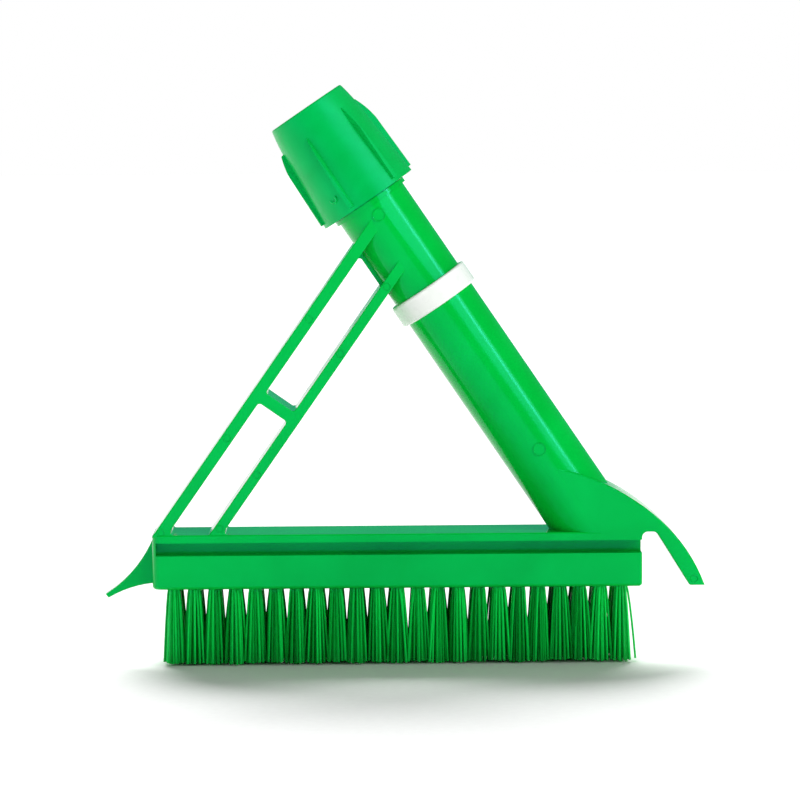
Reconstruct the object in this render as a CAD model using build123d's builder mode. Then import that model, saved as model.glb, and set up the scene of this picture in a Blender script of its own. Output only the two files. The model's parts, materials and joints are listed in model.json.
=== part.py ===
from build123d import *
import math
import os

# Pool wall brush. One moulding holds the pole tube, a ladder strut, the bristle block and two
# scrapers. A screw clamp holds the pole, a split ring marks the tube, and stapled tufts fill the block.
# X runs along the block towards the hooked scraper, Y across it and Z up.
# The origin is the middle of the scrubbing face, where the bristles end. Millimetres and degrees.

# Bristle field
tuft_columns = 23
tuft_rows = 3
bristle_length = 35.0
tuft_root_radius = 2.6
tuft_end_gap = 0.3
tuft_end_margin = 9.5
tuft_side_margin = 6.5
tuft_hole_depth = 10.0
tuft_hole_clearance = 0.05
tuft_root_gap = 0.3

# Anchor staples, flat wire driven across the end of each tuft hole
staple_thickness = 0.4
staple_height = 1.8
staple_bite = 0.35
staple_slot_clearance = 0.05

# Bristle block with its side grooves
block_length = 221.4
body_depth = 34.0
block_height = 24.8
block_left_corner = 4.0
block_right_corner = 1.2
block_bottom_round = 1.6
block_top_round = 0.6
groove_drop = 3.6
groove_height = 5.9
groove_depth = 9.0
groove_end_wall = 1.6
groove_run_out = 1.0

# Pole tube
tube_tilt = 55.9
tube_foot_inset = 20.7
tube_buried_length = 6.0
pole_clearance_radius = 13.0
bore_floor_height = 16.0
collar_standoff = 6.2
collar_thickness = 2.0
collar_projection = 1.4
collar_gap = 0.4

# Threaded spigot above the collar, and the counterbore for the grip collet
spigot_radius = 15.9
spigot_length = 30.0
counterbore_depth = 9.0
counterbore_wall = 1.6

# Ladder strut
strut_tilt = 55.0
strut_inset = 0.5
strut_step = 0.5
strut_foot_spread = 4.0
window_web = 0.8
window_web_half = 5.0
ladder_width = 25.4
outer_strut_thickness = 5.3
inner_strut_thickness = 4.7
crossbar_thickness = 5.3
crossbar_station = 79.3
window_corner = 1.5
strut_edge_round = 0.4

# Hooked scraper at the right end, rising flush from the front of the tube
hook_start = 34.6
hook_overlap = 1.2
hook_back_in = 17.2
hook_back_up = 22.1
hook_crown_out = 8.7
hook_crown_up = 4.9
hook_reach = 28.3
hook_tip_width = 6.9
hook_tip_height = 0.4
hook_gap_width = 6.3
hook_gap_corner = 2.6
hook_tip_corner = 1.2
hook_edge_round = 0.6

# Pointed scraper at the left end
point_thickness = 6.0
point_reach = 22.0
point_drop = 3.4
point_tip_width = 2.1
point_tip_angle = 50.0
point_neck_reach = 18.8
point_neck_drop = 1.2
point_top_drop = 0.9
point_upper_sag = 2.3
point_lower_sag = 1.2
point_root_height = 1.6
point_overlap = 1.0

# Flat witness marks of the ejector pins, on the front
witness_radius = 1.7
tube_witness_radius = 2.8
witness_depth = 0.15
witness_stations_outer = (2.5, 55.3, 120.5)
witness_stations_inner = (3.5, 33.2, 99.5, 136.2)
witness_drops_tube = (8.0, 136.0)
hook_witness_inset = 4.8
hook_witness_height = 3.0

# Clamp nut
nut_length = 49.9
nut_base_radius = 23.6
nut_shoulder_radius = 21.1
nut_shoulder_height = 31.3
nut_rim_radius = 18.7
nut_crown_radius = 20.25
nut_crown_height = 41.0
nut_rim_round = 0.9
nut_thread_clearance = 1.3
nut_lip_thickness = 5.8
nut_lip_clearance = 0.3
nut_rib_count = 6
nut_rib_phase = 9.8
nut_rib_base_radius = 24.9
nut_rib_shoulder_radius = 24.2
nut_rib_shoulder_height = 28.5
nut_rib_brow_radius = 23.2
nut_rib_brow_height = 34.0
nut_rib_end_radius = 20.0
nut_rib_end_height = 42.3
nut_rib_base_width = 6.4
nut_rib_end_width = 3.6
nut_rib_side_taper = 9.0

# Grip collet, bored a little closer than the tube so that it grips the pole
collet_bore_step = 0.2
collet_cone_wall = 3.5
collet_top_wall = 1.8
collet_radial_clearance = 0.35
collet_end_clearance = 0.3
collet_slot_count = 8
collet_slot_width = 1.6
collet_slot_length = 9.5

# Colour ring, a split snap ring in a shallow recess
ring_drop = 46.9
ring_width = 10.3
ring_projection = 2.4
ring_recess_depth = 0.5
ring_running_clearance = 0.08
ring_side_clearance = 0.15
ring_split = 2.0
ring_edge_round = 1.1

# Places worked out from the sizes above
tube_radius = body_depth / 2
half_depth = body_depth / 2
block_left = -block_length / 2
block_right = block_length / 2
block_bottom = bristle_length
block_top = block_bottom + block_height
groove_top = block_top - groove_drop
groove_bottom = groove_top - groove_height

column_pitch = (block_length - 2 * tuft_end_margin) / (tuft_columns - 1)
row_pitch = (body_depth - 2 * tuft_side_margin) / (tuft_rows - 1)
tuft_end_radius = (min(column_pitch, row_pitch) - tuft_end_gap) / 2
tuft_hole_radius = tuft_root_radius + tuft_hole_clearance
tuft_hole_top = block_bottom + tuft_hole_depth

tube_direction = Vector(-math.cos(math.radians(tube_tilt)), 0, math.sin(math.radians(tube_tilt)))
tube_normal = Vector(math.sin(math.radians(tube_tilt)), 0, math.cos(math.radians(tube_tilt)))
tube_foot = Vector(block_right - tube_foot_inset, 0, block_top)
strut_direction = Vector(math.cos(math.radians(strut_tilt)), 0, math.sin(math.radians(strut_tilt)))
strut_normal = Vector(math.sin(math.radians(strut_tilt)), 0, -math.cos(math.radians(strut_tilt)))
strut_foot = Vector(block_left + strut_inset, 0, block_top)

# The outer strut's edge meets the tube's axis here, and the clamp stands above that place.
foot_span = tube_foot.X - strut_foot.X
apex_angle = math.radians(180 - tube_tilt - strut_tilt)
apex_station = foot_span * math.sin(math.radians(strut_tilt)) / math.sin(apex_angle)
tube_length = apex_station + collar_standoff
nut_base = tube_foot + tube_direction * tube_length
ladder_length = foot_span * math.sin(math.radians(tube_tilt)) / math.sin(apex_angle)

counterbore_radius = spigot_radius - counterbore_wall
collet_bore_radius = pole_clearance_radius - collet_bore_step
nut_bore_radius = spigot_radius + nut_thread_clearance
collet_skirt_radius = counterbore_radius - collet_end_clearance
collet_top_height = nut_length - nut_lip_thickness - collet_end_clearance
collet_shoulder_height = spigot_length + collet_end_clearance
collet_bottom_height = spigot_length - counterbore_depth + collet_end_clearance
collet_base_radius = pole_clearance_radius + collet_cone_wall
collet_top_radius = pole_clearance_radius + collet_top_wall
ring_recess_radius = tube_radius - ring_recess_depth
ring_inner_radius = ring_recess_radius + ring_running_clearance
ring_outer_radius = tube_radius + ring_projection
nut_lip_radius = pole_clearance_radius + nut_lip_clearance
nut_crown = (nut_crown_radius, nut_crown_height)
nut_rib_brow = (nut_rib_brow_radius, nut_rib_brow_height)


def section_plane(height):
    """Plane through the tube's axis: its x is the distance from the axis, its y the height up the tube."""
    return Plane(origin=nut_base + tube_direction * height, x_dir=tube_normal, z_dir=(0, -1, 0))


def axis_plane(height):
    """Plane square to the tube's axis at a height above the nut's base."""
    return Plane(origin=nut_base + tube_direction * height, x_dir=tube_normal, z_dir=tube_direction)


def ladder_point(along, across):
    """Point of the ladder strut in XZ: along it from its foot, and across it from the outer edge."""
    place = strut_foot + strut_direction * along + strut_normal * across
    return (place.X, place.Z)


def tube_point(along, across):
    """Point in XZ: along the tube from its foot, and across it from the axis."""
    place = tube_foot + tube_direction * along + tube_normal * across
    return (place.X, place.Z)


def apex_drop(across):
    """Distance that the tube's axis falls behind the apex, along the ladder, at this offset."""
    return across / math.tan(apex_angle)


def foot_station(across):
    """Distance along the ladder at which a line at this offset crosses the top of the block."""
    return across / math.tan(math.radians(strut_tilt))


clamp_axis = Axis(nut_base, tube_direction)
os.makedirs("parts", exist_ok=True)

# Bristle block
with BuildPart() as block:
    with BuildSketch(Plane.XY.offset(block_bottom)):
        Rectangle(block_length, body_depth)
    extrude(amount=block_height)
    fillet(block.edges().filter_by(Axis.Z).group_by(Axis.X)[0], block_left_corner)
    fillet(block.edges().filter_by(Axis.Z).group_by(Axis.X)[-1], block_right_corner)
    fillet(block.faces().sort_by(Axis.Z)[0].edges(), block_bottom_round)
    fillet(block.faces().sort_by(Axis.Z)[-1].edges(), block_top_round)

# Ladder strut: a plate on edge with two windows, a step shallower than the tube on each side.
inner_edge = ladder_width - inner_strut_thickness
bar_low = crossbar_station - crossbar_thickness / 2
bar_high = crossbar_station + crossbar_thickness / 2
window_top = ladder_length - (tube_radius + window_web) / math.sin(apex_angle)
plate_bottom = block_top - 2 * block_top_round
plate_start = -2 * block_top_round
spread_foot = ladder_point(foot_station(ladder_width), ladder_width)
spread_end = spread_foot[0] + strut_foot_spread
strut_half_depth = half_depth - strut_step

with BuildPart() as ladder:
    with BuildSketch(Plane.XZ) as ladder_outline:
        Polygon(
            ladder_point(plate_start, 0),
            ladder_point(ladder_length, 0),
            ladder_point(ladder_length - apex_drop(ladder_width), ladder_width),
            spread_foot,
            (spread_end, block_top),
            (spread_end, plate_bottom),
        )
        fillet(ladder_outline.vertices().sort_by_distance(spread_foot)[0], window_corner)
    extrude(amount=strut_half_depth, both=True)
    with BuildSketch(Plane.XZ) as windows:
        Polygon(
            ladder_point(foot_station(outer_strut_thickness), outer_strut_thickness),
            ladder_point(bar_low, outer_strut_thickness),
            ladder_point(bar_low, inner_edge),
            ladder_point(foot_station(inner_edge), inner_edge),
        )
        Polygon(
            ladder_point(bar_high, outer_strut_thickness),
            ladder_point(window_top - apex_drop(outer_strut_thickness), outer_strut_thickness),
            ladder_point(window_top - apex_drop(inner_edge), inner_edge),
            ladder_point(bar_high, inner_edge),
        )
        fillet(windows.vertices(), window_corner)
    extrude(amount=body_depth, both=True, mode=Mode.SUBTRACT)

    # Between the struts the plate thins to a web where it meets the tube, so the tube's side shows.
    web_start = window_top - 2 * window_corner
    for side in (-1, 1):
        with BuildSketch(Plane.XZ.offset(side * window_web_half)):
            Polygon(
                ladder_point(web_start - apex_drop(outer_strut_thickness), outer_strut_thickness),
                ladder_point(ladder_length, outer_strut_thickness),
                ladder_point(ladder_length, inner_edge),
                ladder_point(web_start - apex_drop(inner_edge), inner_edge),
            )
        extrude(amount=side * body_depth, mode=Mode.SUBTRACT)
    fillet(ladder.faces().sort_by(Axis.Y)[0].edges(), strut_edge_round)
    fillet(ladder.faces().sort_by(Axis.Y)[-1].edges(), strut_edge_round)
    with BuildSketch(Plane.XZ.offset(strut_half_depth - witness_depth)):
        with Locations([ladder_point(along, outer_strut_thickness / 2) for along in witness_stations_outer]):
            Circle(witness_radius)
        inner_middle = inner_edge + inner_strut_thickness / 2
        inner_foot = foot_station(inner_middle)
        with Locations([ladder_point(inner_foot + along, inner_middle) for along in witness_stations_inner]):
            Circle(witness_radius)
    extrude(amount=strut_step, mode=Mode.SUBTRACT)

# Hooked scraper: a plate flush with the front and back of the tube.
hook_root = tube_point(hook_start, hook_overlap)
hook_back = (block_right - hook_back_in, block_top + hook_back_up)
hook_crown = (block_right + hook_crown_out, block_top + hook_crown_up)
hook_tip = (block_right + hook_reach, block_bottom + hook_tip_height)
hook_inner_tip = (hook_tip[0] - hook_tip_width, hook_tip[1])
gap_outer = (block_right + hook_gap_width, block_top)
gap_inner = (block_right, block_top)
hook_end_base = (block_right, groove_top)
hook_base = tube_point(-groove_drop / math.sin(math.radians(tube_tilt)), hook_overlap)

with BuildPart() as hook:
    with BuildSketch(Plane.XZ) as hook_outline:
        with BuildLine():
            back = ThreePointArc(hook_root, hook_back, hook_crown)
            TangentArc(hook_crown, hook_tip, tangent=back % 1)
            Polyline(hook_tip, hook_inner_tip, gap_outer, gap_inner, hook_end_base, hook_base, hook_root)
        make_face()
        fillet(hook_outline.vertices().sort_by_distance(gap_inner)[0], hook_gap_corner)
        fillet(hook_outline.vertices().sort_by_distance(gap_outer)[0], hook_gap_corner)
        fillet(hook_outline.vertices().sort_by_distance(hook_inner_tip)[0], hook_tip_corner)
    extrude(amount=half_depth, both=True)
    free_edges = hook.edges().filter_by(lambda edge: edge.center().X > block_right + hook_edge_round)
    free_edges = free_edges.filter_by(lambda edge: abs(abs(edge.center().Y) - half_depth) < witness_depth)
    fillet(free_edges, hook_edge_round)
    with BuildSketch(Plane.XZ.offset(half_depth - witness_depth)):
        with Locations((hook_tip[0] - hook_witness_inset, hook_tip[1] + hook_witness_height)):
            Circle(witness_radius)
    extrude(amount=strut_step, mode=Mode.SUBTRACT)

# Pointed scraper: a thin web in the middle plane.
point_top = (block_left + strut_inset, block_top - point_top_drop)
point_neck = (block_left - point_neck_reach, block_bottom - point_neck_drop)
point_tip = (block_left - point_reach, block_bottom - point_drop)
point_low_tip = (
    point_tip[0] + point_tip_width * math.cos(math.radians(point_tip_angle)),
    point_tip[1] - point_tip_width * math.sin(math.radians(point_tip_angle)),
)
point_root = (block_left, block_bottom + point_root_height)

with BuildPart() as point:
    with BuildSketch(Plane.XZ):
        with BuildLine():
            SagittaArc(point_top, point_neck, point_upper_sag)
            Polyline(point_neck, point_tip, point_low_tip)
            SagittaArc(point_low_tip, point_root, point_lower_sag)
            Polyline(
                point_root,
                (point_root[0] + point_overlap, point_root[1]),
                (point_top[0] + point_overlap, point_top[1]),
                point_top,
            )
        make_face()
    extrude(amount=point_thickness / 2, both=True)

# Frame: the one moulding.
with BuildPart() as frame:
    # Pole tube, ending just inside the top of the block
    with BuildSketch(axis_plane(-tube_length - tube_buried_length)):
        Circle(tube_radius)
    extrude(amount=tube_length + tube_buried_length - collar_gap)
    split(bisect_by=Plane.XY.offset(block_top - block_top_round / 2), keep=Keep.TOP)

    # Collar and spigot for the nut
    with BuildSketch(axis_plane(-collar_gap - collar_thickness)):
        Circle(tube_radius + collar_projection)
    extrude(amount=collar_thickness)
    with BuildSketch(axis_plane(-collar_gap - collar_thickness)):
        Circle(spigot_radius)
    extrude(amount=spigot_length + collar_gap + collar_thickness)

    # Recess for the colour ring
    with BuildSketch(axis_plane(-ring_drop - ring_width - ring_side_clearance)):
        Circle(tube_radius + collar_projection)
        Circle(ring_recess_radius, mode=Mode.SUBTRACT)
    extrude(amount=ring_width + 2 * ring_side_clearance, mode=Mode.SUBTRACT)

    # Flat pads of the ejector pins on the tube
    with BuildSketch(Plane.XZ.offset(tube_radius - collar_projection)):
        with Locations([tube_point(tube_length - drop, 0) for drop in witness_drops_tube]):
            Circle(tube_witness_radius)
    extrude(amount=collar_projection)

    add(ladder.part)
    add(hook.part)
    add(point.part)
    add(block.part)

    # Bore for the pole, and its counterbore
    with BuildSketch(axis_plane(bore_floor_height - tube_length)):
        Circle(pole_clearance_radius)
    extrude(amount=tube_length + spigot_length, mode=Mode.SUBTRACT)
    with BuildSketch(axis_plane(spigot_length - counterbore_depth)):
        Circle(counterbore_radius)
    extrude(amount=counterbore_depth + collet_end_clearance, mode=Mode.SUBTRACT)

    # Side grooves, open at the right end
    groove_length = block_length - groove_end_wall + groove_run_out
    for side in (-1, 1):
        with BuildSketch(Plane.XY.offset(groove_bottom)):
            with Locations((block_left + groove_end_wall, side * half_depth)):
                Rectangle(groove_length, 2 * groove_depth, align=(Align.MIN, Align.CENTER))
        extrude(amount=groove_height, mode=Mode.SUBTRACT)

    # Blind holes for the tufts
    with BuildSketch(Plane.XY.offset(block_bottom)):
        with GridLocations(column_pitch, row_pitch, tuft_columns, tuft_rows):
            Circle(tuft_hole_radius)
    extrude(amount=tuft_hole_depth, mode=Mode.SUBTRACT)
frame.part.label = "frame"
export_step(frame.part, "parts/frame.step")

# Clamp nut: a flared barrel with six grip ribs, bored for the spigot, the collet and the pole.
with BuildPart() as clamp_nut:
    for number in range(nut_rib_count):
        turn = math.radians(nut_rib_phase + number * 360 / nut_rib_count)
        outward = tube_normal * math.cos(turn) + Vector(0, 1, 0) * math.sin(turn)
        sideways = tube_direction.cross(outward)
        with BuildSketch(Plane(origin=nut_base, x_dir=sideways, z_dir=outward)):
            Polygon(
                (-nut_rib_base_width / 2, 0),
                (nut_rib_base_width / 2, 0),
                (nut_rib_end_width / 2, nut_rib_end_height),
                (-nut_rib_end_width / 2, nut_rib_end_height),
            )
        extrude(amount=nut_rib_base_radius, taper=nut_rib_side_taper / 2)
    with BuildSketch(section_plane(0)):
        with BuildLine():
            Polyline(
                (0, nut_rib_end_height),
                (0, 0),
                (nut_rib_base_radius, 0),
                (nut_rib_shoulder_radius, nut_rib_shoulder_height),
            )
            ThreePointArc(
                (nut_rib_shoulder_radius, nut_rib_shoulder_height),
                nut_rib_brow,
                (nut_rib_end_radius, nut_rib_end_height),
            )
            Line((nut_rib_end_radius, nut_rib_end_height), (0, nut_rib_end_height))
        make_face()
    revolve(axis=clamp_axis, mode=Mode.INTERSECT)
    with BuildSketch(section_plane(0)) as barrel:
        with BuildLine():
            Polyline(
                (0, nut_length),
                (0, 0),
                (nut_base_radius, 0),
                (nut_shoulder_radius, nut_shoulder_height),
            )
            ThreePointArc(
                (nut_shoulder_radius, nut_shoulder_height),
                nut_crown,
                (nut_rim_radius, nut_length),
            )
            Line((nut_rim_radius, nut_length), (0, nut_length))
        make_face()
        fillet(barrel.vertices().sort_by_distance((nut_rim_radius, nut_length))[0], nut_rim_round)
    revolve(axis=clamp_axis)
    with BuildSketch(section_plane(0)):
        Polygon(
            (0, 0),
            (nut_bore_radius, 0),
            (nut_bore_radius, spigot_length + collet_end_clearance),
            (collet_base_radius + collet_radial_clearance, collet_shoulder_height),
            (collet_top_radius + collet_radial_clearance, nut_length - nut_lip_thickness),
            (nut_lip_radius, nut_length - nut_lip_thickness),
            (nut_lip_radius, nut_length),
            (0, nut_length),
        )
    revolve(axis=clamp_axis, mode=Mode.SUBTRACT)
clamp_nut.part.label = "clamp_nut"
export_step(clamp_nut.part, "parts/clamp_nut.step")

# Grip collet: a slotted sleeve, wedged between the spigot's mouth and the nut's cone.
with BuildPart() as grip_collet:
    with BuildSketch(section_plane(0)):
        Polygon(
            (collet_bore_radius, collet_bottom_height),
            (collet_skirt_radius, collet_bottom_height),
            (collet_skirt_radius, collet_shoulder_height),
            (collet_base_radius, collet_shoulder_height),
            (collet_top_radius, collet_top_height),
            (collet_bore_radius, collet_top_height),
        )
    revolve(axis=clamp_axis)
    with BuildSketch(axis_plane(collet_top_height)):
        with PolarLocations(pole_clearance_radius, collet_slot_count):
            Rectangle(2 * collet_cone_wall, collet_slot_width)
    extrude(amount=-collet_slot_length, mode=Mode.SUBTRACT)
grip_collet.part.label = "grip_collet"
export_step(grip_collet.part, "parts/grip_collet.step")

# Colour ring: split at the back so that it snaps into its recess.
with BuildPart() as colour_ring:
    with BuildSketch(section_plane(-ring_drop)) as ring_section:
        with Locations((ring_inner_radius, 0)):
            Rectangle(
                ring_outer_radius - ring_inner_radius,
                ring_width,
                align=(Align.MIN, Align.MAX),
            )
        fillet(ring_section.vertices().group_by(Axis.X)[-1], ring_edge_round)
    revolve(axis=clamp_axis)
    with BuildSketch(axis_plane(-ring_drop)):
        Rectangle(ring_split, 2 * ring_outer_radius, align=(Align.CENTER, Align.MIN))
    extrude(amount=-ring_width, mode=Mode.SUBTRACT)
colour_ring.part.label = "colour_ring"
export_step(colour_ring.part, "parts/colour_ring.step")

# Tufts, one node for each column across the block, and the staples that hold them.
root_length = tuft_hole_depth - tuft_root_gap
staple_top = tuft_hole_top - tuft_root_gap
staple_bottom = staple_top - staple_height
staple_length = 2 * (tuft_hole_radius + staple_bite)

for column in range(tuft_columns):
    column_x = (column - (tuft_columns - 1) / 2) * column_pitch
    with BuildPart() as tuft_column:
        for row in range(tuft_rows):
            row_y = (row - (tuft_rows - 1) / 2) * row_pitch
            with BuildSketch(Plane.XZ.offset(-row_y)):
                Polygon(
                    (column_x, 0),
                    (column_x + tuft_end_radius, 0),
                    (column_x + tuft_root_radius, bristle_length),
                    (column_x + tuft_root_radius, bristle_length + root_length),
                    (column_x, bristle_length + root_length),
                )
            revolve(axis=Axis((column_x, row_y, 0), (0, 0, 1)))
        with BuildSketch(Plane.XY.offset(staple_bottom - staple_slot_clearance)):
            with Locations((column_x, 0)):
                with GridLocations(1, row_pitch, 1, tuft_rows):
                    Rectangle(staple_length, staple_thickness + 2 * staple_slot_clearance)
        extrude(amount=tuft_hole_depth, mode=Mode.SUBTRACT)
    node = f"tuft_column_{column + 1:02d}"
    tuft_column.part.label = node
    export_step(tuft_column.part, f"parts/{node}.step")

with BuildPart() as anchor_staples:
    with BuildSketch(Plane.XY.offset(staple_bottom)):
        with GridLocations(column_pitch, row_pitch, tuft_columns, tuft_rows):
            Rectangle(staple_length, staple_thickness)
    extrude(amount=staple_height)
anchor_staples.part.label = "anchor_staples"
export_step(anchor_staples.part, "parts/anchor_staples.step")
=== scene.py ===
import json
import math
import random

import bmesh
import bpy
from mathutils import Matrix, Vector


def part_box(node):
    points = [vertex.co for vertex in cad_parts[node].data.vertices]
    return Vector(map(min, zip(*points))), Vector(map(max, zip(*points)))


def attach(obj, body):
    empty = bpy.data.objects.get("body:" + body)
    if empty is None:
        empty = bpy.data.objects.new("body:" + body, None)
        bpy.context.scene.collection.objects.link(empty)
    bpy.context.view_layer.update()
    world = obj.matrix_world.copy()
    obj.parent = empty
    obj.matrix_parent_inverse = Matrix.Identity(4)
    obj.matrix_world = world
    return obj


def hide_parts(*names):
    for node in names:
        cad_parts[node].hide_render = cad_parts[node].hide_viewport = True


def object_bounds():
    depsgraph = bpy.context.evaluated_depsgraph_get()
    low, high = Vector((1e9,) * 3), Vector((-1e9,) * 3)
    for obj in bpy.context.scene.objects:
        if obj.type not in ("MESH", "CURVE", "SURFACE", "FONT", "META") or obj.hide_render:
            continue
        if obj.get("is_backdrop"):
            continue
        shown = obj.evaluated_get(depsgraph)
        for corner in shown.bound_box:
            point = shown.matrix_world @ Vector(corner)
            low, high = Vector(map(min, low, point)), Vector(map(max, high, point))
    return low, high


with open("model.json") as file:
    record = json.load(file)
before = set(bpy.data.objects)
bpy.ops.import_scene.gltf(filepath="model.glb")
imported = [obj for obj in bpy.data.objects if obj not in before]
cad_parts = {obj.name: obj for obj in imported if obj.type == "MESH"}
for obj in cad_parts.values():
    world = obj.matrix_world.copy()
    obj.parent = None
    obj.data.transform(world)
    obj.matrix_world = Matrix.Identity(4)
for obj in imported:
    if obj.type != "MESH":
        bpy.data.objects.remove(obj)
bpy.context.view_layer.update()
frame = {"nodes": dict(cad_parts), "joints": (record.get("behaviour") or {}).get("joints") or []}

bl_info = {
    "name": "Pool wall brush",
    "version": (1, 0, 0),
    "blender": (4, 5, 0),
    "location": "View3D > Sidebar > Brush",
    "description": "Finishes a pool wall brush: filaments, thread, hole rims, plastics and a studio",
    "category": "Object",
}

MM = 0.001
TUFT_NODES = sorted(name for name in frame["nodes"] if name.startswith("tuft_column_"))
JOINTS = {joint["name"]: joint for joint in frame["joints"]}
CLAMP_BASE = Vector(JOINTS["nut_turn"]["pos_m"])
CLAMP_AXIS = Vector(JOINTS["nut_turn"]["axis"]).normalized()
CLAMP_SIDE = Vector((CLAMP_AXIS.z, 0, -CLAMP_AXIS.x))
FRONT = Vector((0, -1, 0))
UP = Vector((0, 0, 1))

# Shares of a filament's length at which it may bend, and how soon it splays.
FILAMENT_LEVELS = (0.0, 0.12, 0.3, 0.55, 0.8, 1.0)
SPLAY_CURVE = 0.62
# How far a filament runs up into its hole.
FILAMENT_TUCK = 2 * MM
FILAMENT_SIDES = 6
# The end of a filament stands this share of its even distance from the tuft's middle.
END_SPREAD = (0.86, 1.04)
# A stray leans less across the block than along it.
STRAY_ACROSS = 0.5
GOLDEN_TURN = math.pi * (3 - math.sqrt(5))

# How squarely a face looks to the front before it counts as flat.
FLAT_FRONT = 0.99999
# An ejector flat is wider than this share of the widest one allowed.
LEAST_FLAT = 0.25
WELD_DISTANCE = 0.0001 * MM
BEAD_SIDES = 8
BEAD_STEPS = 20
MARK_STEPS = 16
MARK_SWEEP = math.radians(200)
THREAD_STEPS = 40
# Half widths of the thread's tooth at its root and its crest, as shares of the pitch.
TOOTH_ROOT = 0.32
TOOTH_CREST = 0.12

# Nearly all of a noise lies between these two values.
NOISE_LOW = 0.3
NOISE_HIGH = 0.7
POLYPROPYLENE_IOR = 1.49

# Directions from the brush to the lamps, with their distances and sizes in metres.
FLOOR_LIGHT_SIDE = Vector((0.0, 1.0, 0.75))
FLOOR_LIGHT_SPREAD = math.radians(50)
KEY_SIDE = Vector((0.55, -0.62, 0.56))
KEY_DISTANCE = 2.2
KEY_SIZE = (1.6, 1.6)
STRIP_SIDE = Vector((0.72, -0.50, 0.49))
STRIP_DISTANCE = 1.6
STRIP_SIZE = (0.16, 0.6)
SENSOR_WIDTH = 36
CLIP_NEAR = 0.05
CLIP_FAR = 50


def linear(code):
    """The linear red, green and blue of an sRGB hex colour."""
    parts = [int(code[i : i + 2], 16) / 255 for i in (1, 3, 5)]
    return tuple(p / 12.92 if p <= 0.04045 else ((p + 0.055) / 1.055) ** 2.4 for p in parts)


def colour(code, name, description):
    """A colour property whose default is a hex colour."""
    return bpy.props.FloatVectorProperty(
        name=name, description=description, default=linear(code), size=3, min=0, max=1, subtype="COLOR"
    )


def length(millimetres, name, description):
    """A length property whose default is given in millimetres."""
    return bpy.props.FloatProperty(
        name=name, description=description, default=millimetres * MM, min=0, unit="LENGTH", precision=5
    )


class BrushBristleSizes(bpy.types.PropertyGroup):
    """Sizes of the filaments in a tuft."""

    filament_count: bpy.props.IntProperty(
        name="Filaments", description="Filaments in each tuft", default=25, min=1
    )
    filament_diameter: length(1.1, "Filament diameter", "Thickness of one filament")
    free_length: length(35.0, "Free length", "Length of the filaments below the block")
    root_radius: length(2.75, "Root radius", "Radius of a tuft where it leaves its hole")
    end_radius: length(6.1, "End radius", "Radius of a tuft at its trimmed end")
    trim_unevenness: length(0.55, "Trim unevenness", "How far the ends differ in length")
    tuft_unevenness: length(0.9, "Tuft unevenness", "How far whole tufts differ in length")
    end_crown: length(0.9, "End crown", "How much shorter the outermost filaments of a tuft stand")
    wander: length(0.35, "Wander", "How far a filament strays from its even place")
    stray_reach: length(2.4, "Stray reach", "How much further a stray filament leans")
    stray_share: bpy.props.FloatProperty(
        name="Stray share", description="Share of the filaments that lean across", default=0.16,
        min=0, max=1, subtype="FACTOR",
    )


class BrushTrimSizes(bpy.types.PropertyGroup):
    """Sizes of the small moulded and cut details."""

    rim_radius: length(2.95, "Rim radius", "Radius of the bulge round a tuft hole")
    rim_thickness: length(0.75, "Rim thickness", "Thickness of the bulge round a tuft hole")
    thread_root: length(15.8, "Thread root radius", "Radius at which the thread starts, just in the spigot")
    thread_crest: length(16.8, "Thread crest radius", "Radius of the thread's crest")
    thread_pitch: length(2.5, "Thread pitch", "Rise of the thread in one turn")
    thread_start: length(1.2, "Thread start", "Height of the thread's start above the collar")
    thread_rise: length(26.5, "Thread rise", "Height that the thread climbs")
    pin_mark_limit: length(7.0, "Pin mark limit", "No ejector flat is as wide as this")
    pin_flash: length(0.34, "Pin flash", "Thickness of the flash round an ejector flat")
    mark_height: length(9.3, "Mark height", "Height of the turning mark above the nut's base")
    mark_offset: length(14.3, "Mark offset", "How far the turning mark stands off the nut's front line")
    mark_radius: length(1.7, "Mark radius", "Radius of the turning mark's arc on the nut")
    mark_thickness: length(1.2, "Mark thickness", "Thickness of the turning mark")


class BrushColours(bpy.types.PropertyGroup):
    """Colours of the plastics and the wire."""

    moulding: colour("#00c23e", "Moulding", "Green of the frame")
    moulding_deep: colour("#00b634", "Moulding, deep", "Green of the frame where the flow is dense")
    nut: colour("#00bf52", "Nut", "Green of the clamp nut")
    nut_deep: colour("#00b548", "Nut, deep", "Green of the clamp nut where the flow is dense")
    filament: colour("#10f45c", "Filament", "Green of the lighter filaments")
    filament_deep: colour("#009c28", "Filament, deep", "Green of the darker filaments")
    collet: colour("#00993d", "Collet", "Green of the grip collet")
    sheen: colour("#40e6ee", "Sheen", "Tint of the gloss on the green plastics")
    ring: colour("#fafcf9", "Ring", "White of the colour ring")
    ring_deep: colour("#f4f8f3", "Ring, deep", "White of the colour ring where it is thick")
    wire: colour("#d8b56a", "Wire", "Brass of the anchor staples")
    wire_deep: colour("#b08c46", "Wire, deep", "Brass of the anchor staples where it has dulled")


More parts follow.
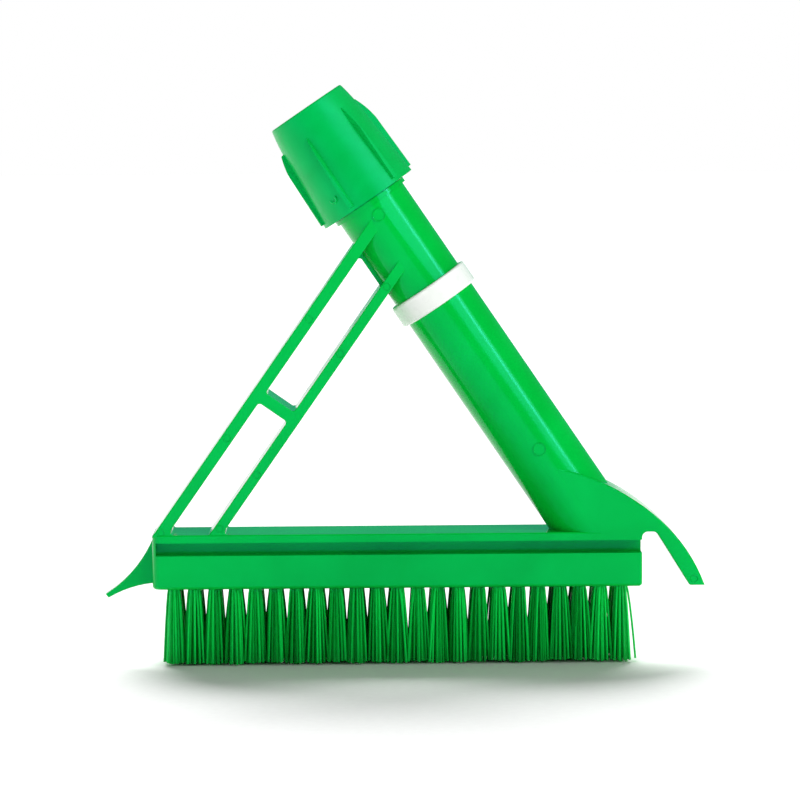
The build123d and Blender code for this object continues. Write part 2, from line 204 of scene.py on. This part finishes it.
class BrushStageSettings(bpy.types.PropertyGroup):
    """Camera, lamps and floor."""

    camera_place: bpy.props.FloatVectorProperty(
        name="Camera place", description="Where the camera stands", default=(-0.0239, -1.6003, 0.2449),
        subtype="TRANSLATION", unit="LENGTH",
    )
    camera_yaw: bpy.props.FloatProperty(
        name="Camera yaw", description="Turn of the camera to the right", default=math.radians(0.922),
        subtype="ANGLE",
    )
    camera_pitch: bpy.props.FloatProperty(
        name="Camera pitch", description="How far the camera looks down", default=math.radians(4.497),
        subtype="ANGLE",
    )
    camera_roll: bpy.props.FloatProperty(
        name="Camera roll", description="Clockwise tilt of the camera", default=math.radians(0.347),
        subtype="ANGLE",
    )
    focal_length: bpy.props.FloatProperty(
        name="Focal length", description="Focal length on a 36 mm sensor, in millimetres", default=158.9,
        unit="CAMERA",
    )
    floor_span: length(30000.0, "Floor span", "Width of the floor")
    floor_lamp: bpy.props.FloatProperty(
        name="Floor light", description="Strength of the light from behind, flagged off the brush",
        default=6.0,
    )
    key_lamp: bpy.props.FloatProperty(
        name="Key light", description="Power of the broad light from the right", default=24.0, unit="POWER"
    )
    strip_lamp: bpy.props.FloatProperty(
        name="Strip light", description="Power of the narrow light that edges the tube", default=2.2,
        unit="POWER",
    )
    room_light: bpy.props.FloatProperty(
        name="Room light", description="Strength of the light that the room sends back", default=0.31
    )
    mirrored_room: colour("#40bc90", "Mirrored room", "What a gloss shows of the room: tinted cards")


def add_node(tree, kind, settings=None, links=None):
    """Adds a node, sets its properties, and fills its sockets with values or from other nodes' outputs."""
    node = tree.nodes.new(kind)
    for name, value in (settings or {}).items():
        if name == "stops":
            ramp = node.color_ramp
            for stop, (place, shade) in zip(ramp.elements, value):
                stop.position = place
                stop.color = (*shade, 1)
        else:
            setattr(node, name, value)
    for name, value in (links or {}).items():
        if isinstance(value, bpy.types.NodeSocket):
            tree.links.new(value, node.inputs[name])
        else:
            node.inputs[name].default_value = value
    return node


def start_material(name):
    """An empty material and its node tree."""
    material = bpy.data.materials.new(name)
    material.use_nodes = True
    material.node_tree.nodes.clear()
    return material, material.node_tree


def moulded_plastic(name, light, deep, sheen, roughness, flow, peel, peel_depth):
    """Moulded plastic: faint flow clouds, a fine skin from the mould, and gloss that varies a little."""
    material, tree = start_material(name)
    place = add_node(tree, "ShaderNodeTexCoord").outputs["Object"]
    clouds = add_node(
        tree, "ShaderNodeTexNoise", {"noise_dimensions": "3D"},
        {"Vector": place, "Scale": 1 / flow, "Detail": 3.0, "Roughness": 0.5, "Distortion": 0.6},
    )
    tint = add_node(
        tree, "ShaderNodeValToRGB", {"stops": ((0.35, deep), (0.65, light))}, {"Fac": clouds.outputs["Fac"]}
    )
    haze = add_node(
        tree, "ShaderNodeTexNoise", {"noise_dimensions": "3D"},
        {"Vector": place, "Scale": 3 / flow, "Detail": 4.0, "Roughness": 0.6},
    )
    gloss = add_node(
        tree, "ShaderNodeMapRange", None,
        {"Value": haze.outputs["Fac"], "From Min": NOISE_LOW, "From Max": NOISE_HIGH,
         "To Min": roughness[0], "To Max": roughness[1]},
    )
    grain = add_node(
        tree, "ShaderNodeTexNoise", {"noise_dimensions": "3D"},
        {"Vector": place, "Scale": 1 / peel, "Detail": 2.0, "Roughness": 0.5},
    )
    skin = add_node(
        tree, "ShaderNodeBump", None,
        {"Height": grain.outputs["Fac"], "Distance": peel_depth, "Strength": 0.6},
    )
    shader = add_node(
        tree, "ShaderNodeBsdfPrincipled", None,
        {"Base Color": tint.outputs["Color"], "Roughness": gloss.outputs["Result"],
         "Normal": skin.outputs["Normal"], "IOR": POLYPROPYLENE_IOR, "Specular Tint": (*sheen, 1)},
    )
    add_node(tree, "ShaderNodeOutputMaterial", None, {"Surface": shader.outputs["BSDF"]})
    return material


def extruded_filament(name, light, deep, sheen):
    """Extruded monofilament: smooth and waxy, each filament of its own tone, streaked lengthwise."""
    material, tree = start_material(name)
    place = add_node(tree, "ShaderNodeTexCoord").outputs["Object"]
    # Draw lines 0.25 mm apart, three to 50 mm down the filament. Real ones are finer, too fine to show.
    across = 1 / (0.25 * MM)
    down = 3 / (50 * MM)
    drawn = add_node(tree, "ShaderNodeMapping", None, {"Vector": place, "Scale": (across, across, down)})
    lines = add_node(
        tree, "ShaderNodeTexNoise", {"noise_dimensions": "3D"},
        {"Vector": drawn.outputs["Vector"], "Scale": 1.0, "Detail": 1.0},
    )
    tone = add_node(tree, "ShaderNodeAttribute", {"attribute_name": "filament_tone"})
    mixed = add_node(
        tree, "ShaderNodeMath", {"operation": "MULTIPLY_ADD"},
        {0: lines.outputs["Fac"], 1: 0.3, 2: tone.outputs["Fac"]},
    )
    tint = add_node(
        tree, "ShaderNodeValToRGB", {"stops": ((0.1, deep), (1.05, light))}, {"Fac": mixed.outputs["Value"]}
    )
    gloss = add_node(
        tree, "ShaderNodeMapRange", None,
        {"Value": lines.outputs["Fac"], "From Min": NOISE_LOW, "From Max": NOISE_HIGH,
         "To Min": 0.2, "To Max": 0.34},
    )
    ridges = add_node(
        tree, "ShaderNodeBump", None,
        {"Height": lines.outputs["Fac"], "Distance": 0.02 * MM, "Strength": 0.4},
    )
    shader = add_node(
        tree, "ShaderNodeBsdfPrincipled", None,
        {"Base Color": tint.outputs["Color"], "Roughness": gloss.outputs["Result"],
         "Normal": ridges.outputs["Normal"], "IOR": POLYPROPYLENE_IOR, "Specular Tint": (*sheen, 1)},
    )
    add_node(tree, "ShaderNodeOutputMaterial", None, {"Surface": shader.outputs["BSDF"]})
    return material


def drawn_brass(name, light, deep):
    """Flat drawn brass wire: long rolling lines and a slightly dulled, warm metal."""
    material, tree = start_material(name)
    place = add_node(tree, "ShaderNodeTexCoord").outputs["Object"]
    # Rolling lines 0.2 mm apart and about 25 mm long.
    across = 1 / (0.2 * MM)
    rolled = add_node(
        tree, "ShaderNodeMapping", None, {"Vector": place, "Scale": (1 / (25 * MM), across, across)}
    )
    lines = add_node(
        tree, "ShaderNodeTexNoise", {"noise_dimensions": "3D"},
        {"Vector": rolled.outputs["Vector"], "Scale": 1.0, "Detail": 2.0},
    )
    tint = add_node(
        tree, "ShaderNodeValToRGB", {"stops": ((NOISE_LOW, deep), (NOISE_HIGH, light))},
        {"Fac": lines.outputs["Fac"]},
    )
    gloss = add_node(
        tree, "ShaderNodeMapRange", None,
        {"Value": lines.outputs["Fac"], "From Min": NOISE_LOW, "From Max": NOISE_HIGH,
         "To Min": 0.25, "To Max": 0.4},
    )
    shader = add_node(
        tree, "ShaderNodeBsdfPrincipled", None,
        {"Base Color": tint.outputs["Color"], "Roughness": gloss.outputs["Result"], "Metallic": 1.0},
    )
    add_node(tree, "ShaderNodeOutputMaterial", None, {"Surface": shader.outputs["BSDF"]})
    return material


def matte_board(name):
    """White coated board: an even, matte white with the faintest fibre mottle."""
    material, tree = start_material(name)
    place = add_node(tree, "ShaderNodeTexCoord").outputs["Object"]
    fibre = add_node(
        tree, "ShaderNodeTexNoise", {"noise_dimensions": "3D"},
        {"Vector": place, "Scale": 1 / (4 * MM), "Detail": 2.0},
    )
    tint = add_node(
        tree, "ShaderNodeValToRGB",
        {"stops": ((NOISE_LOW, linear("#f0f0f0")), (NOISE_HIGH, linear("#f3f3f3")))},
        {"Fac": fibre.outputs["Fac"]},
    )
    shader = add_node(
        tree, "ShaderNodeBsdfPrincipled", None,
        {"Base Color": tint.outputs["Color"], "Roughness": 0.9, "Specular IOR Level": 0.0},
    )
    add_node(tree, "ShaderNodeOutputMaterial", None, {"Surface": shader.outputs["BSDF"]})
    return material


def finish_material(key, colours):
    """The material of one finish, made the first time that it is asked for."""
    names = {
        "moulding": "polypropylene_polished_green",
        "nut": "polypropylene_satin_green",
        "collet": "polypropylene_plain_green",
        "ring": "polypropylene_white",
        "wire": "brass_drawn_wire",
        "filament": "polypropylene_filament_green",
    }
    name = names[key]
    found = bpy.data.materials.get(name)
    if found:
        return found
    green_sheen = tuple(colours.sheen)
    if key == "moulding":
        # Polypropylene from a polished mould: wet-looking gloss over a deep, even green.
        return moulded_plastic(
            name, colours.moulding, colours.moulding_deep, green_sheen,
            roughness=(0.1, 0.16), flow=40 * MM, peel=1.6 * MM, peel_depth=0.008 * MM,
        )
    if key == "nut":
        # Polypropylene from a lightly grained mould: broad, soft highlights with no sharp reflections.
        return moulded_plastic(
            name, colours.nut, colours.nut_deep, green_sheen,
            roughness=(0.3, 0.4), flow=22 * MM, peel=0.5 * MM, peel_depth=0.01 * MM,
        )
    if key == "collet":
        # Polypropylene as it leaves a machined core: duller and darker.
        return moulded_plastic(
            name, colours.collet, colours.collet, green_sheen,
            roughness=(0.45, 0.55), flow=15 * MM, peel=0.8 * MM, peel_depth=0.02 * MM,
        )
    if key == "ring":
        # White polypropylene: bright and softly glossy, hardly shaded.
        return moulded_plastic(
            name, colours.ring, colours.ring_deep, (1, 1, 1),
            roughness=(0.25, 0.33), flow=12 * MM, peel=0.9 * MM, peel_depth=0.01 * MM,
        )
    if key == "wire":
        # Brass wire, cold drawn: warm metal with soft lengthwise streaks.
        return drawn_brass(name, colours.wire, colours.wire_deep)
    # Polypropylene monofilament: crisp light lines down each filament, and many tones of green.
    return extruded_filament(name, colours.filament, colours.filament_deep, green_sheen)


def finish_piece(name, mesh_builder, material, body):
    """Turns a finished bmesh into a piece that rides on a CAD body."""
    mesh = bpy.data.meshes.new(name)
    mesh_builder.to_mesh(mesh)
    mesh_builder.free()
    mesh.materials.append(material)
    piece = bpy.data.objects.new(name, mesh)
    bpy.context.scene.collection.objects.link(piece)
    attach(piece, body)
    return piece


def tuft_places(node):
    """Middles of the three tufts of a column, at the top of their roots."""
    low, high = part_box(node)
    middle = (low.x + high.x) / 2
    reach = (high.x - low.x) / 2
    rows = (low.y + reach, (low.y + high.y) / 2, high.y - reach)
    return [Vector((middle, row, high.z)) for row in rows]


def look_at(node, start, way):
    """The place where a line of sight meets a CAD piece, and how the piece's face looks there."""
    part = frame["nodes"][node]
    inward = part.matrix_world.inverted()
    hit, spot, normal, _ = part.ray_cast(inward @ start, inward.to_3x3() @ way)
    if not hit:
        raise RuntimeError(f"the line of sight misses {node}")
    return part.matrix_world @ spot, (part.matrix_world.to_3x3() @ normal).normalized()


def block_bottom():
    """Height of the underside of the block, seen from below between four tufts."""
    corner = tuft_places(TUFT_NODES[0])[0]
    opposite = tuft_places(TUFT_NODES[1])[1]
    middle = (corner + opposite) / 2
    middle.z = 0
    return look_at("frame", middle, UP)[0].z


def filament_pattern(levels, radius):
    """A straight filament as a mesh: a thin closed rod, extruded once for each level."""
    bm = bmesh.new()
    ring = bmesh.ops.create_circle(bm, cap_ends=True, segments=FILAMENT_SIDES, radius=radius)["verts"]
    cap = ring[0].link_faces[0]
    for number in range(1, levels):
        grown = bmesh.ops.extrude_face_region(bm, geom=[cap], use_keep_orig=number == 1)["geom"]
        cap = next(item for item in grown if isinstance(item, bmesh.types.BMFace))
        ring = [item for item in grown if isinstance(item, bmesh.types.BMVert)]
        bmesh.ops.translate(bm, verts=ring, vec=(0, 0, -1))
    bmesh.ops.recalc_face_normals(bm, faces=bm.faces)
    for face in bm.faces:
        face.smooth = len(face.verts) == 4
    pattern = bpy.data.meshes.new("filament_pattern")
    bm.to_mesh(pattern)
    bm.free()
    return pattern


def lay_filament(vertices, tone_layer, path, tone):
    """Bends a straight filament, whose levels are a unit apart, to its path."""
    for vertex in vertices:
        step = path[round(-vertex.co.z)]
        vertex.co = Vector((vertex.co.x, vertex.co.y, 0)) + step
        vertex[tone_layer] = tone


class OBJECT_OT_brush_bristles(bpy.types.Operator):
    """Replaces each column of tufts with its single filaments"""

    bl_idname = "object.brush_bristles"
    bl_label = "Bristles"

    def filament_path(self, chance, tuft, number, turn, lean, rise, sizes):
        """Points down one filament, from inside its hole to its trimmed end."""
        radius = sizes.filament_diameter / 2
        share = math.sqrt((number + 0.5) / sizes.filament_count)
        angle = turn + number * GOLDEN_TURN
        outward = Vector((math.cos(angle), math.sin(angle), 0))
        root = outward * share * (sizes.root_radius - radius)
        end = outward * share * (sizes.end_radius - radius) * chance.uniform(*END_SPREAD) + lean
        end += Vector((chance.gauss(0, 1), chance.gauss(0, 1), 0)) * sizes.wander
        if chance.random() < sizes.stray_share:
            stray = Vector((chance.uniform(-1, 1), chance.uniform(-STRAY_ACROSS, STRAY_ACROSS), 0))
            end += stray * sizes.stray_reach
        foot = rise + chance.random() ** 2 * sizes.trim_unevenness
        foot += share**2 * sizes.end_crown
        top = sizes.free_length + FILAMENT_TUCK
        path = []
        for level in FILAMENT_LEVELS:
            place = Vector((tuft.x, tuft.y, 0)) + root.lerp(end, level**SPLAY_CURVE)
            place.z = top + (foot - top) * level
            path.append(place)
        return path

    def execute(self, context):
        if not TUFT_NODES:
            raise RuntimeError("the frame has no tuft columns")
        sizes = context.scene.brush_bristles
        material = finish_material("filament", context.scene.brush_colours)
        pattern = filament_pattern(len(FILAMENT_LEVELS), sizes.filament_diameter / 2)
        for node in TUFT_NODES:
            chance = random.Random(node)
            paths = []
            for tuft in tuft_places(node):
                lean = Vector((chance.uniform(-1, 1), chance.uniform(-1, 1), 0)) * sizes.wander
                turn = chance.uniform(0, math.tau)
                rise = chance.random() * sizes.tuft_unevenness
                for number in range(sizes.filament_count):
                    paths.append(self.filament_path(chance, tuft, number, turn, lean, rise, sizes))
            bm = bmesh.new()
            for path in paths:
                bm.from_mesh(pattern)
            tone_layer = bm.verts.layers.float.new("filament_tone")
            bm.verts.ensure_lookup_table()
            count = len(pattern.vertices)
            for number, path in enumerate(paths):
                vertices = bm.verts[number * count : (number + 1) * count]
                lay_filament(vertices, tone_layer, path, chance.random())
            name = node.replace("tuft_column", "bristles")
            piece = finish_piece(name, bm, material, "brush")
            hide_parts(node)
        bpy.data.meshes.remove(pattern)
        return {"FINISHED"}


def add_section(bm, middle, along, thickness, cap_ends):
    """Adds a round section, square to the way it is to be drawn along."""
    turn = along.to_track_quat("Z", "Y").to_matrix().to_4x4()
    return bmesh.ops.create_circle(
        bm, cap_ends=cap_ends, segments=BEAD_SIDES, radius=thickness / 2,
        matrix=Matrix.Translation(middle) @ turn,
    )["verts"]


def add_round_bead(bm, centre, axis, radius, thickness):
    """Adds a closed bead, bent to a circle round a centre."""
    side = axis.orthogonal().normalized()
    section = add_section(bm, centre + side * radius, axis.cross(side), thickness, cap_ends=False)
    edges = list({edge for vertex in section for edge in vertex.link_edges})
    bmesh.ops.spin(
        bm, geom=section + edges, cent=centre, axis=axis, angle=math.tau, steps=BEAD_STEPS, use_merge=True
    )


def ejector_flats(widest):
    """Middle and radius of each small flat round patch in the front of the frame, read from its mesh."""
    part = frame["nodes"]["frame"]
    bm = bmesh.new()
    bm.from_mesh(part.data)
    bm.transform(part.matrix_world)
    bmesh.ops.remove_doubles(bm, verts=bm.verts, dist=WELD_DISTANCE)
    waiting = {face for face in bm.faces if face.normal.y < -FLAT_FRONT}
    flats = []
    while waiting:
        patch = [waiting.pop()]
        for face in patch:
            for edge in face.edges:
                near = [other for other in edge.link_faces if other in waiting]
                waiting.difference_update(near)
                patch.extend(near)
        corners = [vertex.co for face in patch for vertex in face.verts]
        low = Vector(min(corner[axis] for corner in corners) for axis in range(3))
        high = Vector(max(corner[axis] for corner in corners) for axis in range(3))
        if widest * LEAST_FLAT < max(high - low) < widest:
            flats.append(((low + high) / 2, max(high - low) / 2))
    bm.free()
    return sorted(flats, key=lambda flat: tuple(flat[0]))


class OBJECT_OT_brush_pin_marks(bpy.types.Operator):
    """Raises the fine ring of flash round the flats that the ejector pins leave"""

    bl_idname = "object.brush_pin_marks"
    bl_label = "Pin marks"

    def execute(self, context):
        sizes = context.scene.brush_trim
        flats = ejector_flats(sizes.pin_mark_limit)
        if not flats:
            raise RuntimeError("the frame has no ejector flats")
        bm = bmesh.new()
        for middle, radius in flats:
            add_round_bead(bm, middle + FRONT * sizes.pin_flash / 2, -FRONT, radius, sizes.pin_flash)
        bmesh.ops.recalc_face_normals(bm, faces=bm.faces)
        for face in bm.faces:
            face.smooth = True
        material = finish_material("moulding", context.scene.brush_colours)
        finish_piece("pin_marks", bm, material, "brush")
        return {"FINISHED"}


class OBJECT_OT_brush_hole_rims(bpy.types.Operator):
    """Adds the small bulge that is pushed up round the mouth of each tuft hole"""

    bl_idname = "object.brush_hole_rims"
    bl_label = "Hole rims"

    def execute(self, context):
        sizes = context.scene.brush_trim
        material = finish_material("moulding", context.scene.brush_colours)
        bottom = block_bottom()
        bm = bmesh.new()
        for node in TUFT_NODES:
            for tuft in tuft_places(node):
                centre = Vector((tuft.x, tuft.y, bottom))
                add_round_bead(bm, centre, UP, sizes.rim_radius, sizes.rim_thickness)
        bmesh.ops.recalc_face_normals(bm, faces=bm.faces)
        for face in bm.faces:
            face.smooth = True
        finish_piece("hole_rims", bm, material, "brush")
        return {"FINISHED"}


class OBJECT_OT_brush_thread(bpy.types.Operator):
    """Winds the screw thread round the spigot, under the nut"""

    bl_idname = "object.brush_thread"
    bl_label = "Spigot thread"

    def execute(self, context):
        sizes = context.scene.brush_trim
        material = finish_material("moulding", context.scene.brush_colours)
        steps = round(sizes.thread_rise / sizes.thread_pitch * THREAD_STEPS)
        bm = bmesh.new()
        start = CLAMP_BASE + CLAMP_AXIS * sizes.thread_start
        # A blunt tooth: wide at its root, narrow at its crest.
        outline = (
            (sizes.thread_root, -TOOTH_ROOT * sizes.thread_pitch),
            (sizes.thread_crest, -TOOTH_CREST * sizes.thread_pitch),
            (sizes.thread_crest, TOOTH_CREST * sizes.thread_pitch),
            (sizes.thread_root, TOOTH_ROOT * sizes.thread_pitch),
        )
        corners = [bm.verts.new(start + CLAMP_SIDE * out + CLAMP_AXIS * up) for out, up in outline]
        tooth = bm.faces.new(corners)
        bmesh.ops.spin(
            bm, geom=[tooth], cent=CLAMP_BASE, axis=CLAMP_AXIS,
            dvec=CLAMP_AXIS * (sizes.thread_pitch / THREAD_STEPS),
            angle=math.tau * steps / THREAD_STEPS, steps=steps,
        )
        bmesh.ops.recalc_face_normals(bm, faces=bm.faces)
        finish_piece("spigot_thread", bm, material, "brush")
        return {"FINISHED"}


class OBJECT_OT_brush_mark(bpy.types.Operator):
    """Raises the small arc on the nut that shows which way it turns"""

    bl_idname = "object.brush_mark"
    bl_label = "Turning mark"

    def execute(self, context):
        sizes = context.scene.brush_trim
        # A metre in front of the mark's place beside the clamp's axis.
        outside = CLAMP_BASE + CLAMP_AXIS * sizes.mark_height - CLAMP_SIDE * sizes.mark_offset + FRONT
        spot, normal = look_at("clamp_nut", outside, -FRONT)
        side = CLAMP_AXIS.cross(normal).normalized()
        bm = bmesh.new()
        section = add_section(bm, spot, normal.cross(side), sizes.mark_thickness, cap_ends=True)
        bmesh.ops.spin(
            bm, geom=section[0].link_faces[:], cent=spot + side * sizes.mark_radius, axis=normal,
            angle=MARK_SWEEP, steps=MARK_STEPS,
        )
        bmesh.ops.recalc_face_normals(bm, faces=bm.faces)
        material = finish_material("nut", context.scene.brush_colours)
        finish_piece("turn_mark", bm, material, "nut")
        return {"FINISHED"}


class OBJECT_OT_brush_finishes(bpy.types.Operator):
    """Gives the moulded parts and the staples their plastics and metal"""

    bl_idname = "object.brush_finishes"
    bl_label = "Finishes"

    def execute(self, context):
        finishes = {
            "frame": "moulding",
            "clamp_nut": "nut",
            "grip_collet": "collet",
            "colour_ring": "ring",
            "anchor_staples": "wire",
        }
        for node, key in finishes.items():
            part = frame["nodes"][node]
            material = finish_material(key, context.scene.brush_colours)
            if not part.data.materials:
                part.data.materials.append(material)
            for number in range(len(part.material_slots)):
                part.material_slots[number].material = material
        return {"FINISHED"}


def aim(thing, place, target):
    """Stands a lamp at a place and points it at a target."""
    thing.location = place
    thing.rotation_mode = "QUATERNION"
    thing.rotation_quaternion = (Vector(target) - Vector(place)).to_track_quat("-Z", "Y")


def add_lamp(name, kind, energy, place, target, **settings):
    """Adds a lamp to the studio."""
    lamp = bpy.data.lights.new(name, kind)
    lamp.energy = energy
    for key, value in settings.items():
        setattr(lamp, key, value)
    thing = bpy.data.objects.new(name, lamp)
    bpy.context.scene.collection.objects.link(thing)
    aim(thing, place, target)
    return thing


def flag_light(lamp, floor, state):
    """Keeps a lamp's light on the floor alone, or off the floor, as flags in a studio would."""
    flags = bpy.data.collections.new(lamp.name + "_flags")
    flags.objects.link(floor)
    flags.collection_objects[0].light_linking.link_state = state
    lamp.light_linking.receiver_collection = flags


class OBJECT_OT_brush_stage(bpy.types.Operator):
    """Sets up the floor, the lamps, the room light and the camera"""

    bl_idname = "object.brush_stage"
    bl_label = "Studio"

    def execute(self, context):
        scene = context.scene
        settings = scene.brush_stage
        low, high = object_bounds()
        middle = (low + high) / 2

        bm = bmesh.new()
        bmesh.ops.create_grid(bm, x_segments=1, y_segments=1, size=settings.floor_span / 2)
        mesh = bpy.data.meshes.new("floor")
        bm.to_mesh(mesh)
        bm.free()
        mesh.materials.append(matte_board("matte_white_board"))
        floor = bpy.data.objects.new("floor", mesh)
        scene.collection.objects.link(floor)
        floor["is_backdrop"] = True

        floor_light = add_lamp(
            "floor_light", "SUN", settings.floor_lamp, middle + FLOOR_LIGHT_SIDE, middle,
            angle=FLOOR_LIGHT_SPREAD,
        )
        flag_light(floor_light, floor, "INCLUDE")
        key_light = add_lamp(
            "key_light", "AREA", settings.key_lamp, middle + KEY_SIDE.normalized() * KEY_DISTANCE, middle,
            shape="RECTANGLE", size=KEY_SIZE[0], size_y=KEY_SIZE[1],
        )
        flag_light(key_light, floor, "EXCLUDE")
        add_lamp(
            "strip_light", "AREA", settings.strip_lamp, middle + STRIP_SIDE.normalized() * STRIP_DISTANCE,
            middle, shape="RECTANGLE", size=STRIP_SIZE[0], size_y=STRIP_SIZE[1],
        )

        world = bpy.data.worlds.new("white_room")
        world.use_nodes = True
        tree = world.node_tree
        tree.nodes.clear()
        seen = add_node(tree, "ShaderNodeBackground", None, {"Color": (1, 1, 1, 1), "Strength": 1.0})
        sent = add_node(
            tree, "ShaderNodeBackground", None, {"Color": (1, 1, 1, 1), "Strength": settings.room_light}
        )
        mirrored = add_node(
            tree, "ShaderNodeBackground", None, {"Color": (*settings.mirrored_room, 1), "Strength": 1.0}
        )
        path = add_node(tree, "ShaderNodeLightPath")
        around = add_node(
            tree, "ShaderNodeMixShader", None,
            {0: path.outputs["Is Glossy Ray"], 1: sent.outputs["Background"],
             2: mirrored.outputs["Background"]},
        )
        both = add_node(
            tree, "ShaderNodeMixShader", None,
            {0: path.outputs["Is Camera Ray"], 1: around.outputs["Shader"], 2: seen.outputs["Background"]},
        )
        add_node(tree, "ShaderNodeOutputWorld", None, {"Surface": both.outputs["Shader"]})
        scene.world = world
        scene.view_settings.view_transform = "Standard"

        lens = bpy.data.cameras.new("camera")
        lens.sensor_width = SENSOR_WIDTH
        lens.lens = settings.focal_length
        lens.clip_start = CLIP_NEAR
        lens.clip_end = CLIP_FAR
        camera = bpy.data.objects.new("camera", lens)
        scene.collection.objects.link(camera)
        camera.location = settings.camera_place
        turn = (
            Matrix.Rotation(-settings.camera_yaw, 4, "Z")
            @ Matrix.Rotation(math.pi / 2 - settings.camera_pitch, 4, "X")
            @ Matrix.Rotation(-settings.camera_roll, 4, "Z")
        )
        camera.rotation_mode = "QUATERNION"
        camera.rotation_quaternion = turn.to_quaternion()
        scene.camera = camera
        return {"FINISHED"}


class VIEW3D_PT_brush(bpy.types.Panel):
    """Lists the steps that finish the brush"""

    bl_idname = "VIEW3D_PT_brush"
    bl_label = "Pool wall brush"
    bl_space_type = "VIEW_3D"
    bl_region_type = "UI"
    bl_category = "Brush"

    def draw(self, context):
        for step in STEPS:
            self.layout.operator(step.bl_idname)
        for group in GROUPS:
            settings = getattr(context.scene, group)
            box = self.layout.box()
            for name in GROUPS[group].__annotations__:
                box.prop(settings, name)


STEPS = (
    OBJECT_OT_brush_finishes,
    OBJECT_OT_brush_bristles,
    OBJECT_OT_brush_hole_rims,
    OBJECT_OT_brush_pin_marks,
    OBJECT_OT_brush_thread,
    OBJECT_OT_brush_mark,
    OBJECT_OT_brush_stage,
)
GROUPS = {
    "brush_bristles": BrushBristleSizes,
    "brush_trim": BrushTrimSizes,
    "brush_colours": BrushColours,
    "brush_stage": BrushStageSettings,
}


def register():
    for item in (*GROUPS.values(), *STEPS, VIEW3D_PT_brush):
        bpy.utils.register_class(item)
    for name, group in GROUPS.items():
        setattr(bpy.types.Scene, name, bpy.props.PointerProperty(type=group))


def unregister():
    for name in GROUPS:
        delattr(bpy.types.Scene, name)
    for item in (VIEW3D_PT_brush, *reversed(STEPS), *reversed(GROUPS.values())):
        bpy.utils.unregister_class(item)


def main():
    register()
    bpy.ops.object.brush_finishes()
    bpy.ops.object.brush_bristles()
    bpy.ops.object.brush_hole_rims()
    bpy.ops.object.brush_pin_marks()
    bpy.ops.object.brush_thread()
    bpy.ops.object.brush_mark()
    bpy.ops.object.brush_stage()


if __name__ == "__main__":
    main()
